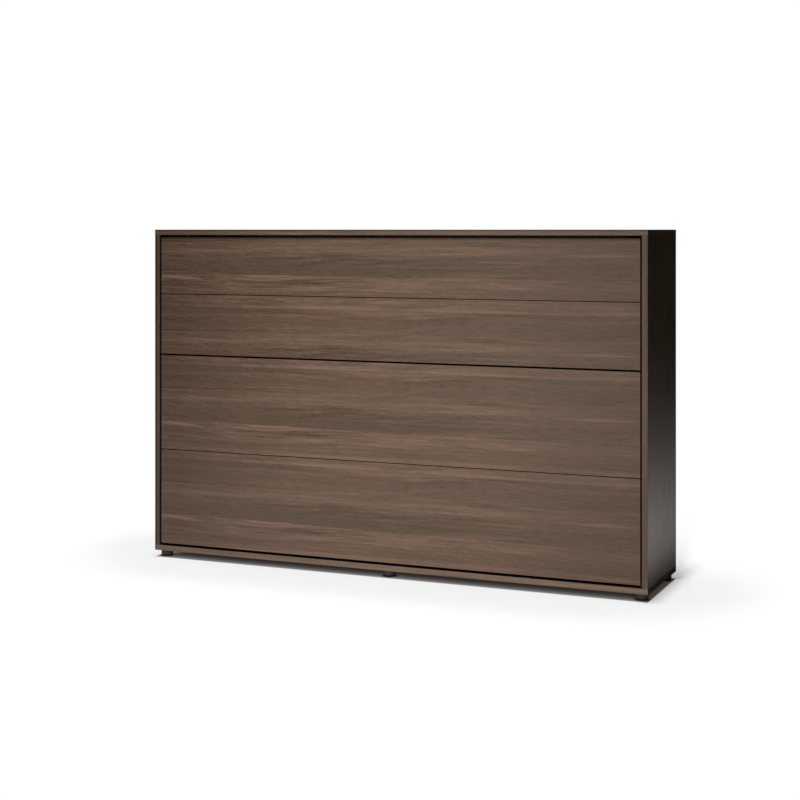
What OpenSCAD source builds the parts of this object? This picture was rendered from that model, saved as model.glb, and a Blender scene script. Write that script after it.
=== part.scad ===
// Horizontal wall bed, closed. X to the right, Y to the back, Z up, in millimetres.
// The origin is on the floor under the middle of the cabinet.
// The bed turns down to the front about two pins low in the side panels, gas struts
// carry its weight, and its legs swing out round the outer edge on the way down.

/* [Mattress space] */
// Length of the mattress, across the front
mattress_length = 2000; // [1800:10:2200]
// Width of the mattress, upright while the bed is closed
mattress_width = 1200; // [1000:10:1500]

/* [Cabinet] */
// Depth of the cabinet, front to back
cabinet_depth = 445; // [420:5:520]
// Thickness of the four panels
panel_thick = 22; // [18:1:28]
// Radius of the edge banding
edge_round = 1; // [0.5:0.25:2]
// Height of the mattress above the bottom panel
space_below = 30; // [28:1:40]
// Height left above the mattress
space_above = 70; // [66:1:100]
// Diameter of the cam fittings
cam_diameter = 15; // [12:0.5:18]
// Depth of the cam fittings
cam_depth = 12.5; // [10:0.5:14]
// Distance of the cam fittings from the panel ends
cam_inset = 34; // [24:1:40]
// Distance of the outer cam fittings from the front and back edges
cam_margin = 60; // [45:1:80]

/* [Back] */
// Thickness of the boards across the back
back_thick = 22; // [18:1:25]
// Height of the boards across the back
back_height = 100; // [80:5:140]
// Height of the middle board above the bottom panel
back_middle_up = 590; // [450:10:700]
// Diameter of the wall bolt holes
wall_hole = 11; // [8:0.5:13]
// Distance of the wall bolts from the side panels
wall_bolt_inset = 133; // [100:1:200]
// Thickness of the steel wall brackets
bracket_thick = 3; // [2:0.5:5]
// Width of the wall brackets
bracket_width = 60; // [40:1:80]
// Length of both legs of the wall brackets
bracket_leg = 78; // [70:1:90]

/* [Feet] */
// Height of the feet
foot_height = 28; // [20:1:50]
// Diameter of the feet
foot_diameter = 50; // [40:1:60]
// Distance of the foot centres from the front and back edges
foot_inset = 45; // [35:1:60]
// Distance of the outer foot centres from the cabinet's sides
foot_side_inset = 33; // [30:1:50]
// Rounding of the lower edge of the feet
foot_round = 7; // [3:0.5:10]
// Diameter of the threaded studs
stud_diameter = 8; // [6:1:10]
// Depth of the studs in the feet and in the panel
stud_depth = 15; // [10:1:16]

/* [Front boards] */
// Thickness of the front boards
board_thick = 16; // [14:1:19]
// How far the boards lie behind the cabinet's front edge
front_inset = 2; // [1:0.5:6]
// Gap beside the boards
side_gap = 7; // [4:0.5:9]
// Gap below the boards
bottom_gap = 10; // [8:0.5:14]
// Gap above the boards
top_gap = 11; // [9:0.5:15]
// Thin seams between boards 1 and 2 and between 3 and 4
thin_seam = 2; // [1:0.5:4]
// Wide gap between boards 2 and 3
wide_seam = 6.4; // [4:0.2:10]
// Height of board 1, at the top
board_1_height = 234.3; // [200:0.1:260]
// Height of board 2
board_2_height = 249.5; // [220:0.1:280]
// Height of board 4, at the bottom
board_4_height = 392.7; // [350:0.1:420]

/* [Bed frame] */
// Depth of the steel tubes, front to back
tube_depth = 30; // [25:1:34]
// Width of the upright tubes
bar_width = 30; // [25:1:40]
// Height of the lower and upper rails
rail_height = 40; // [36:1:50]
// Wall of the tubes
tube_wall = 2; // [1.5:0.25:3]
// Outer corner radius of the tubes
tube_round = 3; // [2.5:0.25:4]
// Height of the lower rail above the bottom panel
lower_rail_up = 14; // [12:1:16]
// Distance from the upper rail to the top edge of the boards
upper_rail_drop = 9; // [6:1:14]
// Distance of the left and right cross bars from the middle
cross_bar_offset = 500; // [450:5:560]
// Height of the strips behind the seams of the boards
strip_height = 30; // [24:1:40]
// Thickness of the strips
strip_thick = 3; // [2:0.5:4]
// Diameter of the board screws
screw_diameter = 4.2; // [3.5:0.1:5]
// Distance of the board screws from the board edges
screw_margin = 62; // [50:1:80]
// Depth of the board screws in the boards
screw_bite = 10; // [8:0.5:12]
// Depth of the ledge that carries the closed mattress
ledge_depth = 100; // [80:1:120]
// Thickness of the ledge's steel
ledge_thick = 2; // [1.5:0.25:3]

/* [Slats] */
// Number of slats
slat_count = 14; // [12:2:16]
// Width of a slat
slat_width = 68; // [53:1:75]
// Thickness of a slat
slat_thick = 8; // [7:0.5:10]
// Crown of a slat in its middle
slat_crown = 14; // [8:1:18]
// Length of a slat's end on its rail
slat_seat = 14; // [12:1:16]
// Wall of the slat holders
holder_wall = 3; // [2:0.5:4]

/* [Straps] */
// Width of the mattress straps
strap_width = 40; // [30:1:50]
// Thickness of the webbing
strap_thick = 1.5; // [1:0.25:2]
// Height of the strap plates
strap_plate = 16; // [12:1:18]
// Width of the strap plates' feet
strap_foot = 3.5; // [3:0.5:5]

/* [Pivot] */
// Distance of the pivot from the cabinet's front edge
pivot_back = 60; // [56:1:64]
// Height of the pivot above the bottom panel
pivot_up = 302; // [296:1:330]
// Diameter of the pivot pins
pin_diameter = 16; // [12:1:18]
// Wall of the pivot bushes
bush_wall = 4; // [2.5:0.5:5]
// Wall of the hub round each bush
hub_wall = 5; // [4:0.5:6]
// Thickness of the lever plates on the bed frame
lever_thick = 4; // [3:0.5:6]
// Thickness of the plates on the side panels
plate_thick = 4; // [3:0.5:6]
// Radial clearance of turning fits
run_gap = 0.05; // [0.03:0.01:0.1]

/* [Gas struts] */
// Diameter of the strut tubes
strut_diameter = 22; // [20:1:23]
// Wall of the strut tubes
strut_wall = 1.5; // [1:0.25:2]
// Diameter of the strut rods
rod_diameter = 10; // [8:1:12]
// Clearance beside the struts
strut_gap = 1.5; // [1:0.25:3]
// Distance of the cabinet stud behind the pivot
anchor_back = 38; // [34:1:42]
// Height of the cabinet stud above the pivot
anchor_up = 184; // [180:1:190]
// Distance of the lever boss behind the pivot
boss_back = 30; // [26:1:32]
// Distance of the lever boss below the pivot
boss_down = 104; // [100:1:108]
// Thickness of the strut eyes
eye_thick = 14; // [12:1:16]
// Diameter of the strut studs
strut_stud = 8; // [6:1:9]

/* [Legs] */
// Width of the leg tubes, seen from the side
leg_width = 20; // [16:1:24]
// Thickness of the leg tubes
leg_thick = 15; // [12:1:18]
// Wall of the leg tubes
leg_wall = 1.5; // [1:0.25:2]
// Diameter of the cross shaft
shaft_diameter = 20; // [16:1:22]
// Wall of the bearings round the shaft
bearing_wall = 4; // [3:0.5:6]
// Clearance of the legs from the boards
leg_clear = 2; // [1.5:0.5:3]
// Height of the rubber pads
pad_height = 12; // [8:1:16]

/* [Hidden] */

// Faces of full circles and of small ones
round_faces = 64;
small_faces = 24;
// Clearance between pieces that rest on each other without being fixed
rest_gap = 0.3;
// Clearance of a screw or stud in its bore
bore_gap = 0.1;
// Overlap of a cut past the face that it opens
cut = 1;

walnut = "#5f5042";
black = "#26262a";
steel = "#9a9ca0";
dark_steel = "#3b3d41";
birch = "#d2b48c";
webbing = "#55585c";

// Heights, from the floor up
floor_z = foot_height + panel_thick;
mattress_z = floor_z + space_below;
ceiling_z = mattress_z + mattress_width + space_above;
top_z = ceiling_z + panel_thick;

// Across the cabinet: frame, lever plate, strut and plate lie side by side in the side gap
frame_half = mattress_length / 2;
lever_x = frame_half + lever_thick;
strut_x = lever_x + strut_gap + strut_diameter / 2;
plate_x = strut_x + strut_diameter / 2 + strut_gap;
inner_half = plate_x + plate_thick;
cabinet_half = inner_half + panel_thick;

// Front to back
front_y = -cabinet_depth / 2;
back_y = cabinet_depth / 2;
boards_y = front_y + front_inset;
frame_y = boards_y + board_thick;
frame_back_y = frame_y + tube_depth;
rail_y = back_y - back_thick;

// Front boards, counted from the top
boards_low_z = floor_z + bottom_gap;
boards_high_z = ceiling_z - top_gap;
board_half = inner_half - side_gap;
board_3_height = boards_high_z - boards_low_z - board_1_height - board_2_height
    - board_4_height - 2 * thin_seam - wide_seam;
board_4_z = boards_low_z;
board_3_z = board_4_z + board_4_height + thin_seam;
board_2_z = board_3_z + board_3_height + wide_seam;
board_1_z = board_2_z + board_2_height + thin_seam;
board_lows = [board_1_z, board_2_z, board_3_z, board_4_z];
board_heights = [board_1_height, board_2_height, board_3_height, board_4_height];

// Bed frame
lower_rail_z = floor_z + lower_rail_up;
upper_rail_z = boards_high_z - upper_rail_drop - rail_height;
bar_low_z = lower_rail_z + rail_height;
side_bar_x = frame_half - bar_width / 2;
bar_places = [-side_bar_x, -cross_bar_offset, 0, cross_bar_offset, side_bar_x];
screw_heights = [for (i = [0 : 3]) each [board_lows[i] + screw_margin,
    board_lows[i] + board_heights[i] - screw_margin]];
screw_head = 2;
seam_heights = [board_3_z - thin_seam / 2, board_2_z - wide_seam / 2, board_1_z - thin_seam / 2];
wide_seam_z = seam_heights[1];
strip_play = 3;

// Legs and their shaft, which lies behind the upper rail
shaft_y = frame_back_y + shaft_diameter / 2 + bearing_wall;
leg_crank = shaft_y - frame_y - leg_clear - leg_width / 2;
shaft_z = boards_high_z + leg_clear + leg_width / 2 - leg_crank;
leg_hub_radius = shaft_diameter / 2 + 6;
leg_y = shaft_y - leg_crank;
bearing_thick = 8;
bearing_base = 18;

// Slats and their holders
slat_low_z = bar_low_z - slat_seat;
slat_high_z = shaft_z - shaft_diameter / 2 - holder_wall - 2;
slat_length = slat_high_z - slat_low_z;
slat_y = frame_back_y + holder_wall;
slat_steps = 16;
holder_half = slat_width / 2 + rest_gap + holder_wall;
holder_depth = 2 * holder_wall + slat_thick;
holder_round = 4;
slat_pitch = 2 * (frame_half - holder_half - bar_width) / (slat_count - 1);
slat_places = [for (i = [0 : slat_count - 1]) (i - (slat_count - 1) / 2) * slat_pitch];
strap_x = 3 * slat_pitch;
strap_low_z = bar_low_z - strap_plate - 2;
strap_high_z = upper_rail_z + strap_plate + 2;
strap_back = 2 * rest_gap + strap_thick;
strap_bridge = 2;
strap_play = 1;
buckle_drop = 150;
buckle_height = 34;
buckle_rim = 6;
buckle_thick = 4;
bearing_places = [-side_bar_x - 4, -2 * slat_pitch, 2 * slat_pitch, side_bar_x + 4];

// Plates of the pins and studs on the side panels, and their screws
pivot_plate_width = 90;
pivot_plate_height = 120;
pivot_plate_shift = 25;
anchor_plate_width = 36;
anchor_plate_height = 72;
plate_screw_inset = 12;
anchor_screw_inset = 10;
side_screw_radius = 2.5;
side_screw_length = 14;
side_screw_head = 5;

// Pivot of the bed, the strut's ends and the angle and length of the closed strut
pivot_y = front_y + pivot_back;
pivot_z = floor_z + pivot_up;
bush_radius = pin_diameter / 2 + bush_wall;
hub_radius = bush_radius + hub_wall;
lever_up = 90;
lever_foot = 14;
lever_round = 13;
lever_screw = 3.2;
pin_radius = pin_diameter / 2;
anchor_y = pivot_y + anchor_back;
anchor_z = pivot_z + anchor_up;
strut_dy = boss_back - anchor_back;
strut_dz = -boss_down - anchor_up;
strut_length = norm([strut_dy, strut_dz]);
strut_open = norm([boss_down - anchor_back, boss_back - anchor_up]);
strut_tilt = atan2(-strut_dy, strut_dz);
eye_radius = 10;
eye_side = eye_thick / 2 + rest_gap;
tube_end = strut_open - eye_radius - 4;
tube_start = 16;
tube_cap = 4;
piston_thick = 5;
rod_reach = strut_open - tube_start - tube_cap - 2;

// Height of the shaft over the floor while the bed is open, and the tube's lower end while closed
leg_reach = pivot_z + shaft_y - pivot_y;
leg_low_z = shaft_z - leg_reach + pad_height;

// Stops, half way up the bed, below the legs and above the struts
stop_z = (leg_low_z + anchor_z) / 2;
stop_size = 30;
stop_tab_thick = 5;
stop_tab_y = frame_back_y - 10;
buffer_thick = 7;
buffer_y = stop_tab_y + stop_tab_thick + rest_gap;
stop_reach = inner_half - frame_half - 10;
stop_tab_reach = inner_half - frame_half - 4;

// A round-cornered outline about its own middle
module rounded_outline(width, height, radius) {
    square([width - 2 * radius, height], center = true);
    square([width, height - 2 * radius], center = true);
    for (side = [-1, 1], end = [-1, 1])
        translate([side * (width / 2 - radius), end * (height / 2 - radius)])
            circle(radius, $fn = small_faces);
}

// Carries an outline drawn in Y and Z from one X to another
module across(x0, x1) {
    translate([x0, 0, 0]) rotate([90, 0, 90]) linear_extrude(x1 - x0) children();
}

// Draws the right-hand piece, or its mirror image on the left
module on_side(side) {
    if (side > 0) children();
    else mirror([1, 0, 0]) children();
}

// A bore or shank along X, from x0 to x1
module rod_x(x0, x1, y, z, radius, faces = round_faces) {
    translate([x0, y, z]) rotate([0, 90, 0]) cylinder(h = x1 - x0, r = radius, $fn = faces);
}

// A bore or shank along Y, from y0 to y1
module rod_y(x, y0, y1, z, radius, faces = small_faces) {
    translate([x, y0, z]) rotate([-90, 0, 0]) cylinder(h = y1 - y0, r = radius, $fn = faces);
}

// A board that lies along X, with banded long edges
module long_board(half, y0, y1, z0, z1) {
    across(-half, half)
        translate([(y0 + y1) / 2, (z0 + z1) / 2]) rounded_outline(y1 - y0, z1 - z0, edge_round);
}

// A rectangular tube's section about its own middle
module tube_section(width, depth) {
    difference() {
        rounded_outline(width, depth, tube_round);
        rounded_outline(width - 2 * tube_wall, depth - 2 * tube_wall, tube_round - tube_wall);
    }
}

function foot_places() = [
    for (y = [front_y + foot_inset, back_y - foot_inset],
         x = [-1, 0, 1] * (cabinet_half - foot_side_inset)) [x, y]];
function cam_heights() = [floor_z + cam_inset, ceiling_z - cam_inset];
function cam_depths() = [front_y + cam_margin, 0, back_y - cam_margin];
function plate_screw_places() = [
    for (dy = [-1, 1], dz = [-1, 1])
        [pivot_y + pivot_plate_shift + dy * (pivot_plate_width / 2 - plate_screw_inset),
         pivot_z + dz * (pivot_plate_height / 2 - plate_screw_inset)]];
function anchor_screw_places() = [
    for (dz = [-1, 1])
        [anchor_y, anchor_z + dz * (anchor_plate_height / 2 - anchor_screw_inset)]];
function slat_lift(t) = slat_crown * pow(1 - pow(2 * t - 1, 2), 2);

// Cabinet

module top_panel() color(walnut)
    long_board(cabinet_half, front_y, back_y, ceiling_z, top_z);

module bottom_panel() color(walnut)
    difference() {
        long_board(cabinet_half, front_y, back_y, foot_height, floor_z);
        for (place = foot_places())
            translate([place.x, place.y, foot_height - cut])
                cylinder(h = stud_depth + cut + bore_gap, d = stud_diameter + 2 * bore_gap,
                    $fn = small_faces);
    }

module side_panel(side) color(walnut)
    on_side(side) difference() {
        translate([inner_half + panel_thick / 2, 0, floor_z])
            linear_extrude(ceiling_z - floor_z) rounded_outline(panel_thick, cabinet_depth, edge_round);
        for (y = cam_depths(), z = cam_heights())
            rod_x(inner_half - cut, inner_half + cam_depth + bore_gap, y, z,
                cam_diameter / 2 + bore_gap);
        for (place = concat(plate_screw_places(), anchor_screw_places()))
            rod_x(inner_half - cut, inner_half + side_screw_length, place.x, place.y,
                side_screw_radius + bore_gap, small_faces);
    }

module left_side_panel() side_panel(-1);
module right_side_panel() side_panel(1);

module back_rail(z, bolted) color(walnut)
    difference() {
        long_board(inner_half, rail_y, back_y, z, z + back_height);
        if (bolted)
            for (x = [-1, 1] * (inner_half - wall_bolt_inset))
                rod_y(x, rail_y - cut, back_y + cut, z + back_height / 2, wall_hole / 2, round_faces);
    }

module back_top_rail() back_rail(ceiling_z - back_height, true);
module back_middle_rail() back_rail(floor_z + back_middle_up, false);
module back_bottom_rail() back_rail(floor_z, true);

// A steel angle against a back rail and the panel above or below it
module wall_bracket(flip) {
    edge = flip ? ceiling_z : floor_z;
    up = flip ? -1 : 1;
    difference() {
        across(-bracket_width / 2, bracket_width / 2) {
            translate([rail_y - bracket_thick / 2, edge + up * bracket_leg / 2])
                square([bracket_thick, bracket_leg], center = true);
            translate([rail_y - bracket_leg / 2, edge + up * bracket_thick / 2])
                square([bracket_leg, bracket_thick], center = true);
            translate([rail_y - bracket_thick, edge + up * bracket_thick])
                rotate(flip ? 180 : 90) difference() {
                    square(bracket_thick);
                    translate([bracket_thick, bracket_thick]) circle(bracket_thick, $fn = small_faces);
                }
        }
        rod_y(0, rail_y - 2 * bracket_thick, rail_y + cut, edge + up * back_height / 2,
            wall_hole / 2, round_faces);
        for (x = [-1, 1] * bracket_width / 4)
            translate([x, rail_y - bracket_leg * 0.7, edge - 2 * bracket_thick])
                cylinder(h = 4 * bracket_thick, r = 2.5, $fn = small_faces);
    }
}

module wall_brackets() color(steel)
    for (x = [-1, 1] * (inner_half - wall_bolt_inset), flip = [false, true])
        translate([x, 0, 0]) wall_bracket(flip);

module cam_fittings() color(steel)
    for (side = [-1, 1], y = cam_depths(), z = cam_heights())
        on_side(side) difference() {
            rod_x(inner_half, inner_half + cam_depth, y, z, cam_diameter / 2);
            for (turn = [0, 90])
                translate([inner_half, y, z]) rotate([turn, 0, 0])
                    cube([4, cam_diameter * 0.6, 1.6], center = true);
        }

// A countersunk screw through a plate into the side panel, or the hole that it fits
module side_screw(place, gap) {
    translate([plate_x, place.x, place.y]) rotate([0, 90, 0])
        cylinder(h = side_screw_head - side_screw_radius, r1 = side_screw_head + gap,
            r2 = side_screw_radius + gap, $fn = small_faces);
    rod_x(plate_x, inner_half + side_screw_length - 1, place.x, place.y, side_screw_radius + gap,
        small_faces);
}

module pivot_plate(side) color(steel)
    on_side(side) difference() {
        union() {
            across(plate_x, inner_half)
                translate([pivot_y + pivot_plate_shift, pivot_z])
                    rounded_outline(pivot_plate_width, pivot_plate_height, plate_screw_inset);
            rod_x(lever_x, plate_x + cut, pivot_y, pivot_z, pin_radius);
            translate([lever_x - 2, pivot_y, pivot_z]) rotate([0, 90, 0])
                cylinder(h = 2, r1 = pin_radius - 1.5, r2 = pin_radius, $fn = round_faces);
        }
        for (place = plate_screw_places()) side_screw(place, bore_gap);
    }

module left_pivot_plate() pivot_plate(-1);
module right_pivot_plate() pivot_plate(1);

// A plate with the stud that the strut's tube turns on, a collar and a washer
module strut_anchor(side) color(steel)
    on_side(side) difference() {
        union() {
            across(plate_x, inner_half) translate([anchor_y, anchor_z])
                rounded_outline(anchor_plate_width, anchor_plate_height, 8);
            rod_x(strut_x + eye_side, plate_x + cut, anchor_y, anchor_z, strut_stud / 2 + 3);
            rod_x(strut_x - eye_side, plate_x, anchor_y, anchor_z, strut_stud / 2);
            rod_x(strut_x - eye_side - 1.5, strut_x - eye_side, anchor_y, anchor_z, strut_stud / 2 + 2.5);
        }
        for (place = anchor_screw_places()) side_screw(place, bore_gap);
    }

module left_strut_anchor() strut_anchor(-1);
module right_strut_anchor() strut_anchor(1);

module plate_screws() color(dark_steel)
    for (side = [-1, 1], place = concat(plate_screw_places(), anchor_screw_places()))
        on_side(side) difference() {
            side_screw(place, 0);
            for (turn = [0, 90])
                translate([plate_x, place.x, place.y]) rotate([turn, 0, 0])
                    cube([2.4, 5, 1], center = true);
        }

module stop_blocks() color(black)
    for (side = [-1, 1])
        on_side(side) across(inner_half - stop_reach, inner_half)
            translate([buffer_y + buffer_thick + stop_size / 2, stop_z])
                rounded_outline(stop_size, stop_size, 4);

module stop_buffers() color("#1b1b1d")
    for (side = [-1, 1])
        on_side(side) translate([inner_half - stop_reach / 2, buffer_y, stop_z]) rotate([-90, 0, 0])
            rotate_extrude($fn = round_faces) {
                square([7, buffer_thick]);
                translate([0, 2]) square([9, buffer_thick - 2]);
                translate([7, 2]) circle(2, $fn = small_faces);
            }

// A round glide with a soft lower edge, bored for its stud
module foot(place) color(black)
    translate([place.x, place.y, 0]) difference() {
        rotate_extrude($fn = round_faces) {
            square([foot_diameter / 2 - foot_round, foot_height]);
            translate([0, foot_round]) square([foot_diameter / 2, foot_height - foot_round - 2]);
            translate([0, foot_round]) square([foot_diameter / 2 - 2, foot_height - foot_round]);
            intersection() {
                translate([foot_diameter / 2 - foot_round, foot_round])
                    circle(foot_round, $fn = round_faces);
                square([foot_diameter / 2, foot_round]);
            }
        }
        translate([0, 0, foot_height - stud_depth])
            cylinder(h = stud_depth + cut, d = stud_diameter + 2 * bore_gap, $fn = small_faces);
    }

module foot_front_left() foot(foot_places()[0]);
module foot_front_middle() foot(foot_places()[1]);
module foot_front_right() foot(foot_places()[2]);
module foot_back_left() foot(foot_places()[3]);
module foot_back_middle() foot(foot_places()[4]);
module foot_back_right() foot(foot_places()[5]);

module foot_studs() color(steel)
    for (place = foot_places())
        translate([place.x, place.y, foot_height - stud_depth])
            cylinder(h = 2 * stud_depth, d = stud_diameter, $fn = small_faces);

// Bed

module front_board(number) color(walnut)
    difference() {
        low = board_lows[number - 1];
        high = low + board_heights[number - 1];
        long_board(board_half, boards_y, frame_y, low, high);
        for (x = bar_places, z = [low + screw_margin, high - screw_margin])
            rod_y(x, frame_y - screw_bite - bore_gap, frame_y + cut, z, screw_diameter / 2 + bore_gap);
    }

module front_board_1() front_board(1);
module front_board_2() front_board(2);
module front_board_3() front_board(3);
module front_board_4() front_board(4);

module frame_rail(z) color(dark_steel)
    across(-frame_half, frame_half)
        translate([frame_y + tube_depth / 2, z + rail_height / 2]) tube_section(tube_depth, rail_height);

module frame_lower_rail() frame_rail(lower_rail_z);
module frame_upper_rail() frame_rail(upper_rail_z);

// An upright tube of the frame, drilled for the board screws
module frame_bar(x) color(dark_steel)
    difference() {
        translate([x, frame_y + tube_depth / 2, bar_low_z])
            linear_extrude(upper_rail_z - bar_low_z) tube_section(bar_width, tube_depth);
        for (z = screw_heights)
            rod_y(x, frame_y - cut, frame_back_y + cut, z, screw_diameter / 2 + bore_gap);
    }

// A steel strip behind a seam of the boards
module seam_strip(x0, x1, z) color(dark_steel)
    across(x0, x1) translate([frame_y + strip_thick / 2, z])
        rounded_outline(strip_thick, strip_height, strip_thick / 4);

// The strips between two neighbouring tubes
module seam_strips(bay)
    for (z = seam_heights)
        seam_strip(bar_places[bay] + bar_width / 2, bar_places[bay + 1] - bar_width / 2, z);

module middle_cross_bar() frame_bar(bar_places[2]);

module frame_left_rail() {
    frame_bar(bar_places[0]);
    seam_strip(-board_half + strip_play, -frame_half, wide_seam_z);
}

module frame_right_rail() {
    frame_bar(bar_places[4]);
    seam_strip(frame_half, board_half - strip_play, wide_seam_z);
}

module left_cross_bar() {
    frame_bar(bar_places[1]);
    for (bay = [0, 1]) seam_strips(bay);
}

module right_cross_bar() {
    frame_bar(bar_places[3]);
    for (bay = [2, 3]) seam_strips(bay);
}

module rail_caps() color(black)
    for (side = [-1, 1], z = [lower_rail_z, upper_rail_z])
        on_side(side) {
            across(frame_half, frame_half + 1.5)
                translate([frame_y + tube_depth / 2, z + rail_height / 2])
                    rounded_outline(tube_depth, rail_height, tube_round);
            across(frame_half - 10, frame_half)
                translate([frame_y + tube_depth / 2, z + rail_height / 2])
                    square([tube_depth - 2 * tube_wall - 0.4, rail_height - 2 * tube_wall - 0.4],
                        center = true);
        }

module board_screws() color(steel)
    for (x = bar_places, z = screw_heights) {
        rod_y(x, frame_y - screw_bite, frame_back_y + cut, z, screw_diameter / 2);
        rod_y(x, frame_back_y, frame_back_y + screw_head, z, screw_diameter);
    }

// One crowned slat: its middle stands proud by slat_crown, its ends lie flat in the holders
module slat(x) {
    across(x - slat_width / 2, x + slat_width / 2)
        polygon([
            for (i = [0 : slat_steps])
                [slat_y + slat_lift(i / slat_steps), slat_low_z + slat_length * i / slat_steps],
            for (i = [slat_steps : -1 : 0])
                [slat_y + slat_thick + slat_lift(i / slat_steps),
                 slat_low_z + slat_length * i / slat_steps]]);
}

module slats() color(birch)
    for (x = slat_places) slat(x);

// A plastic holder with a pocket for a slat's end, for the lower rail or flipped for the upper
module slat_holder(x, end_z, up) {
    height = slat_seat + 4 + holder_wall;
    pocket = height - holder_wall + rest_gap + cut;
    difference() {
        translate([x, frame_back_y, end_z + up * (height / 2 - holder_wall)]) rotate([-90, 0, 0])
            linear_extrude(holder_depth) rounded_outline(2 * holder_half, height, holder_round);
        translate([x, slat_y + slat_thick / 2, end_z + up * (pocket / 2 - rest_gap)])
            cube([slat_width + 2 * rest_gap, slat_thick + 2 * rest_gap, pocket], center = true);
    }
}

module slat_holders() color(black)
    for (x = slat_places) {
        slat_holder(x, slat_low_z, 1);
        slat_holder(x, slat_high_z, -1);
    }

// A steel angle with a rolled edge, along the lower rail
module mattress_ledge() color(steel)
    across(-frame_half + 15, frame_half - 15) {
        translate([frame_back_y, mattress_z - 14]) square([ledge_thick, 14]);
        translate([frame_back_y, mattress_z - ledge_thick]) square([ledge_depth, ledge_thick]);
        translate([frame_back_y + ledge_depth, mattress_z - 3]) circle(3, $fn = small_faces);
    }

module strap(side) color(webbing)
    translate([side * strap_x - strap_width / 2, frame_back_y + rest_gap, strap_low_z])
        cube([strap_width, strap_thick, strap_high_z - strap_low_z]);

module left_strap() strap(-1);
module right_strap() strap(1);

// A bridge of steel that clamps a strap's end to its rail
module strap_plates() color(steel)
    for (side = [-1, 1], z = [strap_low_z + 1, strap_high_z - strap_plate - 1])
        translate([side * strap_x, frame_back_y, z]) difference() {
            linear_extrude(strap_plate) {
                foot_x = strap_width / 2 + strap_play + strap_foot / 2;
                for (end = [-1, 1])
                    translate([end * foot_x, strap_back / 2])
                        square([strap_foot, strap_back], center = true);
                translate([0, strap_back + strap_bridge / 2])
                    square([2 * foot_x + strap_foot, strap_bridge], center = true);
            }
            rod_y(0, 0, strap_back + strap_bridge + cut, strap_plate / 2,
                screw_diameter / 2 + bore_gap);
        }

// A ladder buckle that lies on the strap, with two windows and a rounded outline
module strap_buckles() color(black)
    for (side = [-1, 1])
        translate([side * strap_x, frame_back_y + strap_back, upper_rail_z - buckle_drop])
            rotate([-90, 0, 0]) linear_extrude(buckle_thick) difference() {
                rounded_outline(strap_width + 2 * buckle_rim, buckle_height, 4);
                for (end = [-1, 1])
                    translate([0, end * buckle_height / 4])
                        square([strap_width + strap_play, buckle_height / 4], center = true);
            }

// A steel plate on the frame's side with the pivot hub and the boss for the gas strut
module lever_plate(side) color(dark_steel)
    on_side(side) {
        boss_y = pivot_y + boss_back;
        boss_z = pivot_z - boss_down;
        rail_mid_y = frame_y + tube_depth / 2;
        difference() {
            union() {
                across(frame_half, lever_x) hull() {
                    translate([pivot_y, pivot_z]) circle(hub_radius + 3, $fn = 32);
                    translate([boss_y, boss_z]) circle(lever_round, $fn = 32);
                    for (dz = [-boss_down - lever_foot, lever_up])
                        translate([rail_mid_y, pivot_z + dz]) circle(lever_round, $fn = 32);
                }
                rod_x(lever_x - cut, plate_x - 2, pivot_y, pivot_z, hub_radius);
                rod_x(lever_x - cut, strut_x - eye_side, boss_y, boss_z, strut_stud);
            }
            rod_x(frame_half - cut, plate_x, pivot_y, pivot_z, bush_radius + 0.02);
            for (dz = [-boss_down - lever_foot, -boss_down / 2, lever_up / 2, lever_up])
                rod_x(frame_half - cut, lever_x + cut, rail_mid_y, pivot_z + dz, lever_screw,
                    small_faces);
        }
    }

module left_lever_plate() lever_plate(-1);
module right_lever_plate() lever_plate(1);

module pivot_bush(side) color("#e6e2d6")
    on_side(side) difference() {
        union() {
            rod_x(frame_half + 0.5, plate_x - 1.5, pivot_y, pivot_z, bush_radius);
            rod_x(plate_x - 2, plate_x - 0.5, pivot_y, pivot_z, bush_radius + 3);
        }
        rod_x(frame_half, plate_x, pivot_y, pivot_z, pin_radius + run_gap);
    }

module left_pivot_bush() pivot_bush(-1);
module right_pivot_bush() pivot_bush(1);

module stop_tabs() color(dark_steel)
    for (side = [-1, 1])
        on_side(side) translate([frame_half, stop_tab_y, stop_z])
            rotate([-90, 0, 0]) linear_extrude(stop_tab_thick) {
                translate([stop_tab_reach / 2, 0])
                    rounded_outline(stop_tab_reach, stop_size - 4, 4);
                translate([0, 2 - stop_size / 2]) square([stop_tab_reach / 2, stop_size - 4]);
            }

// Bearing plates on the upper rail for the legs' shaft
module leg_bearings() color(dark_steel)
    for (x = bearing_places)
        difference() {
            across(x - bearing_thick / 2, x + bearing_thick / 2) {
                translate([shaft_y, shaft_z])
                    circle(shaft_diameter / 2 + bearing_wall, $fn = round_faces);
                translate([frame_back_y, shaft_z - bearing_base / 2])
                    square([shaft_y - frame_back_y, bearing_base]);
            }
            rod_x(x - bearing_thick, x + bearing_thick, shaft_y, shaft_z, shaft_diameter / 2 + run_gap);
        }

// Legs

module leg_shaft() color(steel)
    rod_x(-strut_x - leg_thick / 2, strut_x + leg_thick / 2, shaft_y, shaft_z, shaft_diameter / 2);

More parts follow.
